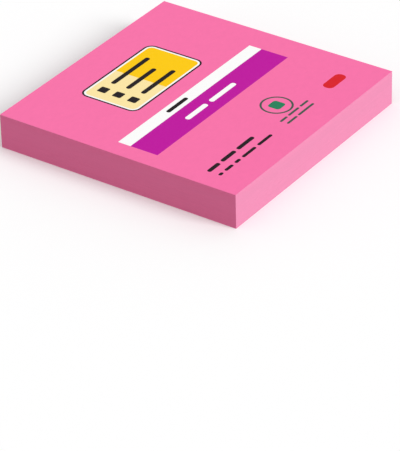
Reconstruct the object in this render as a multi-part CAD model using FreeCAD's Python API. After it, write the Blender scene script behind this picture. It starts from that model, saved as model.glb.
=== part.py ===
import FreeCAD, Part
import os

# A square pad of repositionable notes, glued along one edge and trimmed flush on all four.
# +Z is up, +X is the reading direction of the cover and +Y points to the glued edge.
# The origin is the centre of the underside. Lengths are in millimetres.

# Outline of every sheet
PAD_WIDTH = 76.0
PAD_DEPTH = 76.0

# Paper, one sheet of each kind
NOTE_COUNT = 90
NOTE_THICKNESS = 0.10
COVER_THICKNESS = 0.10
BACKING_THICKNESS = 0.12

# Adhesive coat under each note and under the cover, measured in from the glued edge
ADHESIVE_THICKNESS = 0.01
ADHESIVE_BAND_WIDTH = 19.0

# Edges of the outline
LEFT_EDGE = -PAD_WIDTH / 2
FREE_EDGE = -PAD_DEPTH / 2
GLUED_EDGE = PAD_DEPTH / 2
BAND_START = GLUED_EDGE - ADHESIVE_BAND_WIDTH

# Heights of the pieces, from the underside up
BASE_ADHESIVE_BOTTOM = BACKING_THICKNESS
BLOCK_BOTTOM = BASE_ADHESIVE_BOTTOM + ADHESIVE_THICKNESS
NOTE_PITCH = NOTE_THICKNESS + ADHESIVE_THICKNESS
BLOCK_TOP = BLOCK_BOTTOM + NOTE_COUNT * NOTE_PITCH - ADHESIVE_THICKNESS
COVER_BOTTOM = BLOCK_TOP + ADHESIVE_THICKNESS


def sheet(bottom, thickness):
    """A flat sheet of the pad's full outline."""
    corner = FreeCAD.Vector(LEFT_EDGE, FREE_EDGE, bottom)
    return Part.makeBox(PAD_WIDTH, PAD_DEPTH, thickness, corner)


def adhesive_band(bottom):
    """One coat of adhesive, full width, from the glued edge in to the start of the band."""
    corner = FreeCAD.Vector(LEFT_EDGE, BAND_START, bottom)
    return Part.makeBox(PAD_WIDTH, ADHESIVE_BAND_WIDTH, ADHESIVE_THICKNESS, corner)


def comb_outline():
    """Side outline of the glued notes: leaves that are free in front and joined in the band."""
    points = [FreeCAD.Vector(LEFT_EDGE, GLUED_EDGE, BLOCK_BOTTOM)]
    for note in range(NOTE_COUNT):
        underside = BLOCK_BOTTOM + note * NOTE_PITCH
        face = underside + NOTE_THICKNESS
        if note > 0:
            points.append(FreeCAD.Vector(LEFT_EDGE, BAND_START, underside))
        points.append(FreeCAD.Vector(LEFT_EDGE, FREE_EDGE, underside))
        points.append(FreeCAD.Vector(LEFT_EDGE, FREE_EDGE, face))
        if note < NOTE_COUNT - 1:
            points.append(FreeCAD.Vector(LEFT_EDGE, BAND_START, face))
    points.append(FreeCAD.Vector(LEFT_EDGE, GLUED_EDGE, BLOCK_TOP))
    points.append(points[0])
    return Part.makePolygon(points)


def note_block():
    """All the notes as one solid, which the adhesive coats hold together along the glued edge."""
    profile = Part.Face(comb_outline())
    return profile.extrude(FreeCAD.Vector(PAD_WIDTH, 0, 0))


pieces = {
    "backing_sheet": sheet(0.0, BACKING_THICKNESS),
    "base_adhesive": adhesive_band(BASE_ADHESIVE_BOTTOM),
    "note_block": note_block(),
    "cover_adhesive": adhesive_band(BLOCK_TOP),
    "cover_sheet": sheet(COVER_BOTTOM, COVER_THICKNESS),
}

os.makedirs("parts", exist_ok=True)
for node, shape in pieces.items():
    if not shape.isValid() or len(shape.Solids) != 1:
        raise RuntimeError(node + " is not one valid solid")
    shape.exportStep("parts/" + node + ".step")
    print(node, "volume", round(shape.Volume, 2), "mm3, top", round(shape.BoundBox.ZMax, 3))
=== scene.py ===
import collections
import math
import random

import bmesh
import bpy
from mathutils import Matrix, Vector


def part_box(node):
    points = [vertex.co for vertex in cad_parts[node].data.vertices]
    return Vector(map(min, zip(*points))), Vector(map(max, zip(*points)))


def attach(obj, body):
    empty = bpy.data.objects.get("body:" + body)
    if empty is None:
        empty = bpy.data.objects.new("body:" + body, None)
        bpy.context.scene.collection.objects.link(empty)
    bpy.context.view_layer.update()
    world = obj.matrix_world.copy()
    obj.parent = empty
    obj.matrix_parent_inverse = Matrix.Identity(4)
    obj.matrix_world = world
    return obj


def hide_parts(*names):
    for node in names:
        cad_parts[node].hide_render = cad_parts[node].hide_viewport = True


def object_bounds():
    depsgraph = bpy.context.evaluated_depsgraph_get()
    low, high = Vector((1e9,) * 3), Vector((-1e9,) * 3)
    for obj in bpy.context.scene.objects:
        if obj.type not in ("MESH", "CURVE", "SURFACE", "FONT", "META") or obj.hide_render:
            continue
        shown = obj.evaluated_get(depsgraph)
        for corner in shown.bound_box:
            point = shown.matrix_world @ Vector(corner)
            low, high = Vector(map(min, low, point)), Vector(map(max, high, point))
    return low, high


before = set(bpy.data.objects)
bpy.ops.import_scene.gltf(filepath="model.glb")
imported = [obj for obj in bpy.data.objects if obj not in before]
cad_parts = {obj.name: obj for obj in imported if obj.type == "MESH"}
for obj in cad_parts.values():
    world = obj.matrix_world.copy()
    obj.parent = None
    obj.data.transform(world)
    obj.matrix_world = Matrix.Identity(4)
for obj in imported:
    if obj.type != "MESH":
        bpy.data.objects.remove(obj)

bl_info = {
    "name": "Note Pad",
    "version": (1, 0, 0),
    "blender": (4, 5, 0),
    "location": "View3D > Sidebar > Note Pad",
    "description": "Models the paper, print and studio of a square pad of notes",
    "category": "Object",
}

# The pad lies on its underside: +X along the lines of print, +Y to the glued edge and +Z up.
# Blender's lengths are metres.
MM = 0.001
BODY = "root"

# The solid model's box, the block's lowest and highest corner, and the level of the cover's face
CAD_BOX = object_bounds()
BLOCK_LOW, BLOCK_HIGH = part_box("note_block")
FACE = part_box("cover_sheet")[1].z

# Two heights or places that are closer than this are taken as the same
SAME = 0.001 * MM

# A face is level where its normal's Z is above the first value, whichever way up it is, and looks
# to the front where its normal's Y is below the second
LEVEL_FACE = 0.9
# Faces that look to the front get the paler edge colour, which is painted light
FRONT_FACE = -0.5

# Printed rows of plain dashes, in millimetres: where a row starts, its middle line, the height of
# its dashes, the gap between them and their lengths. A row that belongs to the label or the emblem
# is placed from its centre, any other from the centre of the cover.
DashRow = collections.namedtuple("DashRow", "left middle height gap dashes")
PALE_BAND_ROWS = [DashRow(-13.0, 0.9, 1.3, 0.0, [9.2])]
STRONG_BAND_ROWS = [DashRow(-13.2, -5.5, 1.6, 1.8, [9.4, 11.6])]
LABEL_ROWS = [DashRow(-7.0, 5.0, 1.5, 0.0, [17.0]),
              DashRow(-7.0, 0.0, 1.5, 0.0, [13.0]),
              DashRow(-7.0, -5.0, 1.5, 0.0, [15.0])]
EMBLEM_ROWS = [DashRow(-6.8, -5.7, 0.75, 0.7, [3.2, 5.0, 3.8]),
               DashRow(-6.6, -7.8, 0.75, 0.7, [4.6, 7.4])]
SMALL_PRINT_ROWS = [DashRow(-32.2, -25.6, 1.3, 1.1, [5.0, 6.2, 7.4]),
                    DashRow(-32.2, -29.0, 1.0, 1.2, [1.6, 3.4, 2.2, 6.0, 6.4])]

# The radius of a dash's corners as a share of its height, and the facets in a printed corner and
# in a quarter of the ring
DASH_ROUNDING = 0.45
CORNER_STEPS = 8
RING_STEPS = 24

# Loose leaves end a little short of the trimmed edge, each by its own draw from the seed. The power
# keeps most of the draws small, and the glued edge shows only a share of them.
LEAF_SEED = 7
STRAY_POWER = 2
GLUED_SHARE = 0.25


def linear(hex_colour):
    """An sRGB colour such as f875ab as linear red, green, blue and alpha."""
    channels = [int(hex_colour[i:i + 2], 16) / 255 for i in (0, 2, 4)]
    return [c / 12.92 if c <= 0.04045 else ((c + 0.055) / 1.055) ** 2.4 for c in channels] + [1.0]


def length(name, millimetres, description):
    """A length that a user can change, with its default in millimetres."""
    return bpy.props.FloatProperty(name=name, description=description, default=millimetres * MM,
                                   subtype="DISTANCE", unit="LENGTH", precision=5)


def colour(name, hex_colour, description):
    """A colour that a user can change, with its default as sRGB."""
    return bpy.props.FloatVectorProperty(name=name, description=description, size=4, min=0, max=1,
                                         default=linear(hex_colour), subtype="COLOR")


class NotePadSizes(bpy.types.PropertyGroup):
    leaves: bpy.props.IntProperty(name="Leaves", description="Notes in the block", default=90, min=1)
    # A stray of up to twice the groove keeps every slope between two leaves within 45 degrees
    leaf_groove: length("Leaf Groove", 0.02, "Depth of the groove between two sheet edges")
    leaf_stray: length("Leaf Stray", 0.035, "How far a loose leaf may lie short of the trimmed edge")
    ink_depth: length("Ink Depth", 0.03, "How far the print soaks into the cover sheet")

    band_left: length("Band Left", -32.6, "Left end of the printed bands")
    band_right: length("Band Right", 29.3, "Right end of the printed bands")
    band_seam: length("Band Seam", -1.1, "Line where the pale band meets the strong one")
    pale_band: length("Pale Band", 4.0, "Height of the pale band")
    strong_band: length("Strong Band", 8.7, "Height of the strong band")

    label_x: length("Label X", -1.4, "Centre of the label, across")
    label_y: length("Label Y", 17.4, "Centre of the label, up the sheet")
    label_width: length("Label Width", 33.0, "Width of the label")
    label_height: length("Label Height", 19.0, "Height of the label")
    label_corner: length("Label Corner", 2.6, "Radius of the label's corners")
    label_line: length("Label Line", 0.55, "Width of each of the two lines round the label")
    label_seam: length("Label Seam", -2.0, "Line where the two colours of the label meet, across")
    check_x: length("Check X", -11.0, "Centre of the check boxes, across from the label's centre")
    check_size: length("Check Size", 2.8, "Side of a check box")
    check_corner: length("Check Corner", 0.4, "Radius of a check box's corners")

    emblem_x: length("Emblem X", 5.8, "Centre of the ring, across")
    emblem_y: length("Emblem Y", -21.6, "Centre of the ring, up the sheet")
    emblem_size: length("Emblem Size", 9.2, "Outer diameter of the ring")
    emblem_line: length("Emblem Line", 0.6, "Width of the ring's line")
    emblem_core: length("Emblem Core", 3.8, "Side of the square in the ring")
    emblem_core_corner: length("Emblem Core Corner", 0.9, "Radius of the square's corners")

    patch_x: length("Patch X", 25.0, "Centre of the bright patch, across")
    patch_y: length("Patch Y", -27.7, "Centre of the bright patch, up the sheet")
    patch_width: length("Patch Width", 8.4, "Width of the bright patch")
    patch_height: length("Patch Height", 3.4, "Height of the bright patch")


class NotePadColours(bpy.types.PropertyGroup):
    sheet: colour("Sheet", "f874aa", "Face of the dyed paper")
    edge: colour("Edge", "f97eac", "Cut edges of the dyed paper")
    # Painted light: the front cut side gets a paler colour than the other sides, as if lit more
    # strongly
    painted_light_edge: colour("Loose Edge", "f194ba", "Cut edges along the loose front side")
    white: colour("White", "fdfcfb", "Pale band and the inner line of the label")
    purple: colour("Purple", "be109e", "Strong band")
    gold: colour("Gold", "feca04", "Right part of the label")
    cream: colour("Cream", "fce6a6", "Left part of the label")
    black: colour("Black", "1b1418", "Small print and the outer line of the label")
    green: colour("Green", "23805a", "Square in the ring emblem")
    slate: colour("Slate", "43584e", "Ring of the emblem and the dashes below it")
    red: colour("Red", "d91f29", "Bright patch")
    adhesive: colour("Adhesive", "f3a9c6", "Adhesive bands between the sheets")
    floor: colour("Floor", "ffffff", "Floor and backdrop as the camera sees them")


def sizes():
    return bpy.context.scene.note_pad_sizes


def colours():
    return bpy.context.scene.note_pad_colours


# Modelling steps

def select_only(piece):
    bpy.ops.object.select_all(action="DESELECT")
    piece.select_set(True)
    bpy.context.view_layer.objects.active = piece


def select_part(piece, kind, wanted):
    """In edit mode, selects the vertices, edges or faces for which wanted is true."""
    bpy.ops.mesh.select_mode(type=kind)
    bpy.ops.mesh.select_all(action="DESELECT")
    mesh = bmesh.from_edit_mesh(piece.data)
    for element in {"VERT": mesh.verts, "EDGE": mesh.edges, "FACE": mesh.faces}[kind]:
        element.select_set(wanted(element))
    mesh.select_flush_mode()
    bmesh.update_edit_mesh(piece.data)


def upright(edge):
    return abs(edge.verts[0].co.z - edge.verts[1].co.z) > SAME


def level(edge):
    return not upright(edge)


def bevel_edges(piece, wanted, width, steps):
    select_only(piece)
    bpy.ops.object.mode_set(mode="EDIT")
    select_part(piece, "EDGE", wanted)
    bpy.ops.mesh.bevel(offset=width, segments=steps, affect="EDGES")
    bpy.ops.object.mode_set(mode="OBJECT")


def finish_piece(piece, name, slot, *materials):
    """Names a piece, gives it its materials, and makes it ride with the pad."""
    piece.name = piece.data.name = name
    for material in materials:
        piece.data.materials.append(material)
    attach(piece, BODY)
    return piece


def paint_faces(piece, material, wanted):
    """Gives one of a piece's materials to the faces for which wanted is true."""
    select_only(piece)
    piece.active_material_index = piece.data.materials.find(material.name)
    bpy.ops.object.mode_set(mode="EDIT")
    select_part(piece, "FACE", wanted)
    bpy.ops.object.material_slot_assign()
    bpy.ops.object.mode_set(mode="OBJECT")


def paint_cut_sides(piece):
    """Finishes the four cut sides with their grooves, and paints the front one paler as painted light.
    """
    paint_faces(piece, cut_paper_edges(), lambda face: abs(face.normal.z) < LEVEL_FACE)
    # Painted highlight: the faces that look to the front get the paler edge colour
    paint_faces(piece, loose_paper_edges(), lambda face: face.normal.y < FRONT_FACE)


def block(low, high):
    """A box between two corners."""
    bpy.ops.object.select_all(action="DESELECT")
    centre = [(a + b) / 2 for a, b in zip(low, high)]
    size = [b - a for a, b in zip(low, high)]
    bpy.ops.mesh.primitive_cube_add(size=1, location=centre, scale=size)
    bpy.ops.object.transform_apply(location=True, rotation=True, scale=True)
    return bpy.context.object


def ink_block(left, bottom, right, top, corner=0.0, steps=CORNER_STEPS):
    """A printed field: as deep as the ink soaks in, and level with the cover's face."""
    piece = block((left, bottom, FACE - sizes().ink_depth), (right, top, FACE))
    if corner > 0:
        bevel_edges(piece, upright, corner, steps)
    return piece


def centred_ink(x, y, width, height, corner, steps=CORNER_STEPS):
    return ink_block(x - width / 2, y - height / 2, x + width / 2, y + height / 2, corner, steps)


def ink_rows(rows, x=0.0, y=0.0):
    """Rows of round-ended dashes as one object, placed from a point. A row runs left to right."""
    pieces = []
    for row in rows:
        left = x + row.left * MM
        middle = y + row.middle * MM
        half = row.height * MM / 2
        for dash in row.dashes:
            right = left + dash * MM
            pieces.append(ink_block(left, middle - half, right, middle + half,
                                    row.height * MM * DASH_ROUNDING))
            left = right + row.gap * MM
    return joined(pieces)


def copied(piece, rise=0.0):
    """A copy of a piece with its own mesh, moved up the sheet."""
    select_only(piece)
    bpy.ops.object.duplicate_move(TRANSFORM_OT_translate={"value": (0, rise, 0)})
    bpy.ops.object.transform_apply(location=True, rotation=True, scale=True)
    return bpy.context.object


def joined(pieces):
    """Several objects as one."""
    select_only(pieces[0])
    for piece in pieces:
        piece.select_set(True)
    if len(pieces) > 1:
        bpy.ops.object.join()
    return pieces[0]


def cut_out(piece, tool):
    """Takes the tool's shape out of a piece."""
    select_only(piece)
    bpy.ops.object.modifier_add(type="BOOLEAN")
    cut = piece.modifiers[-1]
    cut.operation = "DIFFERENCE"
    cut.solver = "EXACT"
    cut.object = tool
    bpy.ops.object.modifier_apply(modifier=cut.name)


def let_in(piece, grounds):
    """Lets a printed field into each ground, so that their faces are level and nowhere double."""
    tool = copied(piece)
    bpy.ops.object.mode_set(mode="EDIT")
    select_part(tool, "VERT", lambda vertex: vertex.co.z > FACE - SAME)
    bpy.ops.transform.translate(value=(0, 0, sizes().ink_depth))
    bpy.ops.object.mode_set(mode="OBJECT")
    for ground in grounds:
        cut_out(ground, tool)
    bpy.data.objects.remove(tool)


# Materials

# Paper's fibres scatter nearly all the light, so its shine is low. Its tooth is the size of the
# small hollows in its face, and its roughness drifts to each side from fibre to fibre.
PAPER_SHINE = 0.1
PAPER_TOOTH = 0.3 * MM
ROUGHNESS_DRIFT = 0.05

# Layers of noise in a cloud and in the grain, and the share that each layer of a cloud keeps
CLOUD_LAYERS = 3.0
GRAIN_LAYERS = 2.0
CLOUD_KEEP = 0.55


def add_node(tree, kind, inputs=None, **settings):
    """Adds a node, sets it up, and gives its inputs their values or the sockets that feed them."""
    made = tree.nodes.new(kind)
    for name, value in settings.items():
        setattr(made, name, value)
    for name, value in (inputs or {}).items():
        if isinstance(value, bpy.types.NodeSocket):
            tree.links.new(value, made.inputs[name])
        else:
            made.inputs[name].default_value = value
    return made


def tint(base, factor):
    """A colour made a little lighter or darker."""
    return [min(1.0, channel * factor) for channel in base[:3]] + [1.0]


def sheet_material(name, base, roughness, cloud, cloud_change, tooth_height, tooth=PAPER_TOOTH,
                   shine=PAPER_SHINE, stretch=(1, 1, 1)):
    """A sheet whose colour drifts in soft clouds, and whose face and gloss have a fine tooth.

    cloud and tooth are the sizes of those marks in metres, cloud_change is the share by which the
    colour drifts, and stretch lengthens the clouds along X, Y or Z. A material that was made
    before is handed out again.
    """
    if name in bpy.data.materials:
        return bpy.data.materials[name]
    material = bpy.data.materials.new(name)
    material.use_nodes = True
    tree = material.node_tree
    shader = tree.nodes["Principled BSDF"]
    place = add_node(tree, "ShaderNodeTexCoord").outputs["Object"]
    cloud_place = add_node(tree, "ShaderNodeMapping", {
        "Vector": place, "Scale": [1 / (cloud * s) for s in stretch]}).outputs["Vector"]
    clouds = add_node(tree, "ShaderNodeTexNoise", {
        "Vector": cloud_place, "Scale": 1.0, "Detail": CLOUD_LAYERS,
        "Roughness": CLOUD_KEEP}).outputs["Fac"]
    drift = add_node(tree, "ShaderNodeMix", {
        "Factor": clouds, "A": tint(base, 1 - cloud_change), "B": tint(base, 1 + cloud_change)},
        data_type="RGBA")
    grain = add_node(tree, "ShaderNodeTexNoise", {
        "Vector": place, "Scale": 1 / tooth, "Detail": GRAIN_LAYERS}).outputs["Fac"]
    gloss = add_node(tree, "ShaderNodeMapRange", {
        "Value": grain, "To Min": roughness - ROUGHNESS_DRIFT,
        "To Max": roughness + ROUGHNESS_DRIFT}).outputs["Result"]
    bump = add_node(tree, "ShaderNodeBump", {
        "Height": grain, "Distance": tooth_height, "Strength": 1.0}).outputs["Normal"]
    tree.links.new(drift.outputs["Result"], shader.inputs["Base Color"])
    tree.links.new(gloss, shader.inputs["Roughness"])
    tree.links.new(bump, shader.inputs["Normal"])
    shader.inputs["Specular IOR Level"].default_value = shine
    return material


def dyed_paper():
    """Uncoated paper dyed in the pulp: matt, with the faint clouds of fibres that lie along X."""
    return sheet_material("dyed_paper", colours().sheet, roughness=0.85, cloud=1.2 * MM,
                          cloud_change=0.04, tooth_height=0.01 * MM, stretch=(1.6, 1, 1))


def edge_material(name, base):
    """Guillotined paper edges: matt, in fine lines along the leaves.

    A real line is one leaf, 0.1 mm. It is drawn as 0.5 mm so that it still shows.
    """
    return sheet_material(name, base, roughness=0.9, cloud=0.5 * MM, cloud_change=0.03,
                          tooth=0.4 * MM, tooth_height=0.006 * MM, stretch=(60, 60, 1))


def cut_paper_edges():
    """Edges of leaves that lie tight on each other: hardly paler than the face of the paper."""
    return edge_material("cut_paper_edges", colours().edge)


def loose_paper_edges():
    """Front edges of the leaves, painted paler than the other cut sides: painted light."""
    return edge_material("loose_paper_edges", colours().painted_light_edge)


def paper_finishes():
    """The three finishes of a sheet or a block: its face, its cut sides and its front in painted light.
    """
    return dyed_paper(), cut_paper_edges(), loose_paper_edges()


def offset_ink(shade):
    """Offset ink on uncoated paper: flat and strong, a touch smoother than the bare sheet."""
    return sheet_material(shade + "_ink", getattr(colours(), shade), roughness=0.7,
                          cloud=0.8 * MM, cloud_change=0.03, tooth_height=0.007 * MM)


def acrylic_adhesive():
    """Clear acrylic adhesive, coated thin: slightly glossy, with the paper's colour in it."""
    return sheet_material("acrylic_adhesive", colours().adhesive, roughness=0.35, shine=0.5,
                          cloud=2 * MM, cloud_change=0.02, tooth_height=0.002 * MM)


# Pieces

def raise_ring(rise):
    """Extrudes the selected ring upwards."""
    bpy.ops.mesh.extrude_region_move(TRANSFORM_OT_translate={"value": (0, 0, rise)})


def draw_in(before, after):
    """Moves the selected ring from one inset to another. The glued edge moves a share of that.

    The ring is scaled, about the line that keeps its place between the front and the glued edge.
    """
    width, reach, _ = BLOCK_HIGH - BLOCK_LOW
    both = 1 + GLUED_SHARE
    still = BLOCK_HIGH.y - reach * GLUED_SHARE / both
    bpy.ops.transform.resize(
        value=((width - 2 * after) / (width - 2 * before),
               (reach - both * after) / (reach - both * before), 1),
        center_override=((BLOCK_LOW.x + BLOCK_HIGH.x) / 2, still, 0))


def put_in_order(piece):
    """Gives edges and faces the same order in every run, which extruding alone doesn't.

    They are sorted by the sum of two to the power of each vertex's number, which no two share.
    """
    mesh = bmesh.from_edit_mesh(piece.data)
    mesh.verts.index_update()
    for elements in (mesh.edges, mesh.faces):
        elements.sort(key=lambda element: sum(2 ** vertex.index for vertex in element.verts))
    bmesh.update_edit_mesh(piece.data)


def leaf_ring(pitch):
    """The edges of the lowest leaf with half a groove on each side, open above and below.

    It starts as a square metre that is resized in edit mode, because adding a plane ignores its
    scale.
    """
    groove = sizes().leaf_groove
    middle = (BLOCK_LOW + BLOCK_HIGH) / 2
    width, reach, _ = BLOCK_HIGH - BLOCK_LOW
    bpy.ops.object.select_all(action="DESELECT")
    bpy.ops.mesh.primitive_plane_add(size=1, location=(middle.x, middle.y, BLOCK_LOW.z))
    bpy.ops.object.transform_apply(location=True, rotation=True, scale=True)
    bpy.ops.object.mode_set(mode="EDIT")
    bpy.ops.mesh.select_all(action="SELECT")
    bpy.ops.transform.resize(value=(width, reach, 1), center_override=middle)
    bpy.ops.mesh.delete(type="ONLY_FACE")
    bpy.ops.mesh.select_all(action="SELECT")
    draw_in(0, groove)
    raise_ring(groove)
    draw_in(groove, 0)
    raise_ring(pitch - 2 * groove)
    raise_ring(groove)
    draw_in(0, groove)
    put_in_order(bpy.context.object)
    bpy.ops.object.mode_set(mode="OBJECT")
    return bpy.context.object


def stack_up(ring, count, pitch):
    """Repeats a ring upwards and welds each one to the next."""
    select_only(ring)
    bpy.ops.object.modifier_add(type="ARRAY")
    stack = ring.modifiers[-1]
    stack.count = count
    stack.use_relative_offset = False
    stack.use_constant_offset = True
    stack.constant_offset_displace = (0, 0, pitch)
    stack.use_merge_vertices = True
    stack.merge_threshold = SAME
    bpy.ops.object.modifier_apply(modifier=stack.name)


def close_end(piece, height):
    """Fills the open ring at a height with one face."""
    select_part(piece, "EDGE", lambda edge: all(abs(v.co.z - height) < SAME for v in edge.verts))
    bpy.ops.mesh.edge_face_add()


def stray_leaves(piece, count, pitch):
    """Draws the edges of each leaf in by a small amount of its own."""
    half_groove = sizes().leaf_groove / 2
    draw = random.Random(LEAF_SEED)
    for leaf in range(count):
        bottom = BLOCK_LOW.z + leaf * pitch
        select_part(piece, "VERT", lambda vertex: half_groove < vertex.co.z - bottom
                    < pitch - half_groove)
        draw_in(0, sizes().leaf_stray * draw.random() ** STRAY_POWER)


class NOTEPAD_OT_note_block(bpy.types.Operator):
    """Model the glued block of notes, with the edge of each leaf"""
    bl_idname = "notepad.note_block"
    bl_label = "Note Block"

    def execute(self, context):
        leaves = sizes().leaves
        pitch = (BLOCK_HIGH.z - BLOCK_LOW.z) / leaves
        piece = leaf_ring(pitch)
        stack_up(piece, leaves, pitch)
        bpy.ops.object.mode_set(mode="EDIT")
        close_end(piece, BLOCK_LOW.z)
        close_end(piece, BLOCK_HIGH.z)
        stray_leaves(piece, leaves, pitch)
        bpy.ops.mesh.select_all(action="SELECT")
        bpy.ops.mesh.normals_make_consistent(inside=False)
        bpy.ops.object.mode_set(mode="OBJECT")
        finish_piece(piece, "leaf_edges", "note_paper", *paper_finishes())
        paint_cut_sides(piece)
        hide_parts("note_block")
        return {"FINISHED"}


class NOTEPAD_OT_outer_sheets(bpy.types.Operator):
    """Model the backing sheet, and the cover sheet that the print is let into"""
    bl_idname = "notepad.outer_sheets"
    bl_label = "Cover and Backing"

    def execute(self, context):
        for name, node, slot in (("printed_cover", "cover_sheet", "cover_paper"),
                                 ("plain_backing", "backing_sheet", "backing_paper")):
            sheet = block(*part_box(node))
            bevel_edges(sheet, level, sizes().leaf_groove, 1)
            finish_piece(sheet, name, slot, *paper_finishes())
            paint_cut_sides(sheet)
            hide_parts(node)
        return {"FINISHED"}


def print_field(piece, name, material, *grounds):
    """Lets a field of print into the pieces that it lies on and finishes it."""
    let_in(piece, [bpy.data.objects[ground] for ground in grounds])
    return finish_piece(piece, name, "cover_paper", material)


class NOTEPAD_OT_bands(bpy.types.Operator):
    """Print the pale band and the strong band, with the dashes on them"""
    bl_idname = "notepad.bands"
    bl_label = "Printed Bands"

    def execute(self, context):
        s = sizes()
        pale = ink_block(s.band_left, s.band_seam, s.band_right, s.band_seam + s.pale_band)
        print_field(pale, "pale_band", offset_ink("white"), "printed_cover")
        strong = ink_block(s.band_left, s.band_seam - s.strong_band, s.band_right, s.band_seam)
        print_field(strong, "strong_band", offset_ink("purple"), "printed_cover")
        print_field(ink_rows(PALE_BAND_ROWS), "pale_band_dash", offset_ink("black"), "pale_band")
        print_field(ink_rows(STRONG_BAND_ROWS), "strong_band_dashes", offset_ink("white"),
                    "strong_band")
        return {"FINISHED"}


def label_layer(inset):
    """The label's outline, drawn in by an inset on all sides."""
    s = sizes()
    return centred_ink(s.label_x, s.label_y, s.label_width - 2 * inset, s.label_height - 2 * inset,
                       s.label_corner - inset)


def keep_beside(piece, seam, side):
    """Keeps what lies to one side of the seam, 1 for right and -1 for left, and closes the cut."""
    select_only(piece)
    bpy.ops.object.mode_set(mode="EDIT")
    bpy.ops.mesh.select_all(action="SELECT")
    bpy.ops.mesh.bisect(plane_co=(seam, 0, 0), plane_no=(side, 0, 0), use_fill=True,
                        clear_inner=True)
    bpy.ops.object.mode_set(mode="OBJECT")
    return piece


def check_list():
    """Three rows of the label, each with a check box and a dash."""
    s = sizes()
    rows = [row.middle * MM for row in LABEL_ROWS]
    box = centred_ink(s.label_x + s.check_x, s.label_y + rows[0], s.check_size, s.check_size,
                      s.check_corner)
    boxes = [box] + [copied(box, row - rows[0]) for row in rows[1:]]
    return joined(boxes + [ink_rows(LABEL_ROWS, s.label_x, s.label_y)])


class NOTEPAD_OT_label(bpy.types.Operator):
    """Print the two-tone label with its lines and its check list"""
    bl_idname = "notepad.label"
    bl_label = "Printed Label"

    def execute(self, context):
        s = sizes()
        print_field(label_layer(0), "label_outline", offset_ink("black"), "printed_cover")
        print_field(label_layer(s.label_line), "label_inline", offset_ink("white"), "label_outline")
        field = label_layer(2 * s.label_line)
        let_in(field, [bpy.data.objects["label_inline"]])
        finish_piece(keep_beside(copied(field), s.label_seam, 1), "label_gold", "cover_paper",
                     offset_ink("gold"))
        finish_piece(keep_beside(field, s.label_seam, -1), "label_cream", "cover_paper",
                     offset_ink("cream"))
        print_field(check_list(), "label_check_list", offset_ink("black"), "label_cream",
                    "label_gold")
        return {"FINISHED"}


def emblem_disc(size):
    """A round field about the emblem's centre: a square with its corners rounded all the way."""
    s = sizes()
    return centred_ink(s.emblem_x, s.emblem_y, size, size, size / 2 - SAME, RING_STEPS)


class NOTEPAD_OT_emblem(bpy.types.Operator):
    """Print the ring with a square in it and the two fine rows below"""
    bl_idname = "notepad.emblem"
    bl_label = "Ring Emblem"

    def execute(self, context):
        s = sizes()
        print_field(emblem_disc(s.emblem_size), "emblem_ring", offset_ink("slate"), "printed_cover")
        print_field(emblem_disc(s.emblem_size - 2 * s.emblem_line), "emblem_ground", dyed_paper(),
                    "emblem_ring")
        core = centred_ink(s.emblem_x, s.emblem_y, s.emblem_core, s.emblem_core,
                           s.emblem_core_corner)
        print_field(core, "emblem_core", offset_ink("green"), "emblem_ground")
        print_field(ink_rows(EMBLEM_ROWS, s.emblem_x, s.emblem_y), "emblem_dashes",
                    offset_ink("slate"), "printed_cover")
        return {"FINISHED"}


class NOTEPAD_OT_small_print(bpy.types.Operator):
    """Print the two rows of dashes and the bright patch along the free edge"""
    bl_idname = "notepad.small_print"
    bl_label = "Small Print"

    def execute(self, context):
        s = sizes()
        print_field(ink_rows(SMALL_PRINT_ROWS), "small_print", offset_ink("black"), "printed_cover")
        patch = centred_ink(s.patch_x, s.patch_y, s.patch_width, s.patch_height,
                            s.patch_height * DASH_ROUNDING)
        print_field(patch, "bright_patch", offset_ink("red"), "printed_cover")
        return {"FINISHED"}


class NOTEPAD_OT_adhesive(bpy.types.Operator):
    """Finish the two adhesive bands, which keep their own solids"""
    bl_idname = "notepad.adhesive"
    bl_label = "Adhesive Bands"

    def execute(self, context):
        for node in ("base_adhesive", "cover_adhesive"):
            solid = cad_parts[node]
            solid.data.materials.clear()
            solid.data.materials.append(acrylic_adhesive())
        return {"FINISHED"}


# Stage

# Light that falls on a level face, as a share of what makes a colour render as written: from the
# sky, and from a key lamp, whose height, turn from the front and width across follow
SKY_SHARE = 0.68
KEY_SHARE = 0.32
KEY_HEIGHT_DEG = 32.6
KEY_SIDE_DEG = 5.0
KEY_SOFTNESS_DEG = 28.0

# The share of its light that the floor gives back to the pad, and the floor's side in metres
FLOOR_BOUNCE = 0.35
FLOOR_SIDE = 6.0

# The floor lies this far below the pad, and lets rays through that are shorter than the reach,
# so that the underside is lit in a view from below
FLOOR_GAP = 0.02 * MM
UNDERSIDE_REACH = 0.08 * MM

# The camera's place, turn and lens, from a fit to the corners of the pad in the photograph
EYE_MM = (-570.4, -406.5, 410.8)
EYE_TURN_DEG = (57.677, 1.315, -55.324)
LENS_MM = 238.8


def camera_share(tree, for_camera, for_light):
    """Mixes two shaders: one for what the camera, glass and gloss see, one for the light given."""
    path = add_node(tree, "ShaderNodeLightPath").outputs
    seen = path["Is Camera Ray"]
    for ray in ("Is Glossy Ray", "Is Transmission Ray"):
        seen = add_node(tree, "ShaderNodeMath", {0: seen, 1: path[ray]},
                        operation="MAXIMUM").outputs["Value"]
    return add_node(tree, "ShaderNodeMixShader", {"Fac": seen, 1: for_light, 2: for_camera}).outputs[0]


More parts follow.
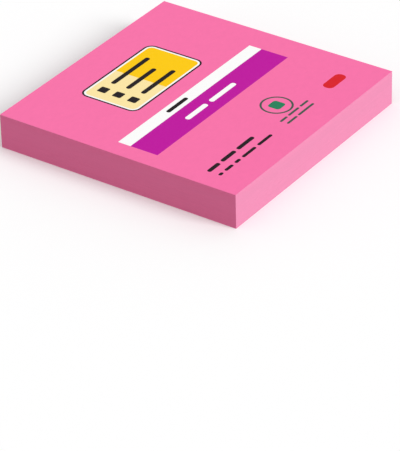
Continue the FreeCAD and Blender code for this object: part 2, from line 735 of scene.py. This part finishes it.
def matt_backdrop():
    """Matt white card that gives back less light than it shows, so that the sides keep their shade.

    It shows from above only. From below it is clear.
    """
    material = bpy.data.materials.new("matt_backdrop")
    material.use_nodes = True
    tree = material.node_tree
    tree.nodes.remove(tree.nodes["Principled BSDF"])
    seen = add_node(tree, "ShaderNodeBsdfDiffuse", {"Color": list(colours().floor)}).outputs[0]
    given = add_node(tree, "ShaderNodeBsdfDiffuse", {"Color": [FLOOR_BOUNCE] * 3 + [1]}).outputs[0]
    mixed = camera_share(tree, seen, given)
    ray_length = add_node(tree, "ShaderNodeLightPath").outputs["Ray Length"]
    short = add_node(tree, "ShaderNodeMath", {0: ray_length, 1: UNDERSIDE_REACH},
                     operation="LESS_THAN").outputs["Value"]
    behind = add_node(tree, "ShaderNodeNewGeometry").outputs["Backfacing"]
    opened = add_node(tree, "ShaderNodeMath", {0: short, 1: behind},
                      operation="MAXIMUM").outputs["Value"]
    clear = add_node(tree, "ShaderNodeBsdfTransparent").outputs[0]
    one_sided = add_node(tree, "ShaderNodeMixShader", {"Fac": opened, 1: mixed, 2: clear}).outputs[0]
    tree.links.new(one_sided, tree.nodes["Material Output"].inputs["Surface"])
    return material


def soft_sky():
    """An even white surround, seen as pure white."""
    world = bpy.data.worlds.new("soft_sky")
    world.use_nodes = True
    tree = world.node_tree
    given = add_node(tree, "ShaderNodeBackground", {"Strength": SKY_SHARE, "Color": [1] * 4}).outputs[0]
    seen = add_node(tree, "ShaderNodeBackground", {"Strength": 1.0, "Color": [1] * 4}).outputs[0]
    mixed = camera_share(tree, seen, given)
    tree.links.new(mixed, tree.nodes["World Output"].inputs["Surface"])
    bpy.context.scene.world = world


class NOTEPAD_OT_stage(bpy.types.Operator):
    """Set up the floor, the light and the camera"""
    bl_idname = "notepad.stage"
    bl_label = "Stage"

    def execute(self, context):
        bpy.ops.object.select_all(action="DESELECT")
        bpy.ops.mesh.primitive_plane_add(size=FLOOR_SIDE, location=(0, 0, CAD_BOX[0].z - FLOOR_GAP))
        floor = context.object
        floor.name = "floor"
        floor.data.materials.append(matt_backdrop())
        soft_sky()
        bpy.ops.object.light_add(type="SUN", rotation=(
            math.radians(90 - KEY_HEIGHT_DEG), 0, math.radians(KEY_SIDE_DEG)))
        key = context.object.data
        key.angle = math.radians(KEY_SOFTNESS_DEG)
        key.energy = math.pi * KEY_SHARE / math.sin(math.radians(KEY_HEIGHT_DEG))
        bpy.ops.object.camera_add(location=[c * MM for c in EYE_MM],
                                  rotation=[math.radians(a) for a in EYE_TURN_DEG])
        camera = context.object
        camera.data.lens = LENS_MM
        context.scene.camera = camera
        context.scene.view_settings.view_transform = "Standard"
        return {"FINISHED"}


class NOTEPAD_PT_panel(bpy.types.Panel):
    bl_idname = "NOTEPAD_PT_panel"
    bl_label = "Note Pad"
    bl_space_type = "VIEW_3D"
    bl_region_type = "UI"
    bl_category = "Note Pad"

    def draw(self, context):
        for operator in OPERATORS:
            self.layout.operator(operator.bl_idname)
        for group in (context.scene.note_pad_sizes, context.scene.note_pad_colours):
            column = self.layout.column()
            for name in type(group).__annotations__:
                column.prop(group, name)


OPERATORS = (NOTEPAD_OT_note_block, NOTEPAD_OT_outer_sheets, NOTEPAD_OT_bands,
             NOTEPAD_OT_label, NOTEPAD_OT_emblem, NOTEPAD_OT_small_print, NOTEPAD_OT_adhesive,
             NOTEPAD_OT_stage)
CLASSES = (NotePadSizes, NotePadColours) + OPERATORS + (NOTEPAD_PT_panel,)


def register():
    for cls in CLASSES:
        bpy.utils.register_class(cls)
    bpy.types.Scene.note_pad_sizes = bpy.props.PointerProperty(type=NotePadSizes)
    bpy.types.Scene.note_pad_colours = bpy.props.PointerProperty(type=NotePadColours)


def unregister():
    del bpy.types.Scene.note_pad_colours
    del bpy.types.Scene.note_pad_sizes
    for cls in reversed(CLASSES):
        bpy.utils.unregister_class(cls)


def run(operator):
    area, call = operator.bl_idname.split(".")
    getattr(getattr(bpy.ops, area), call)()


def main():
    register()
    for operator in OPERATORS:
        run(operator)


if __name__ == "__main__":
    main()
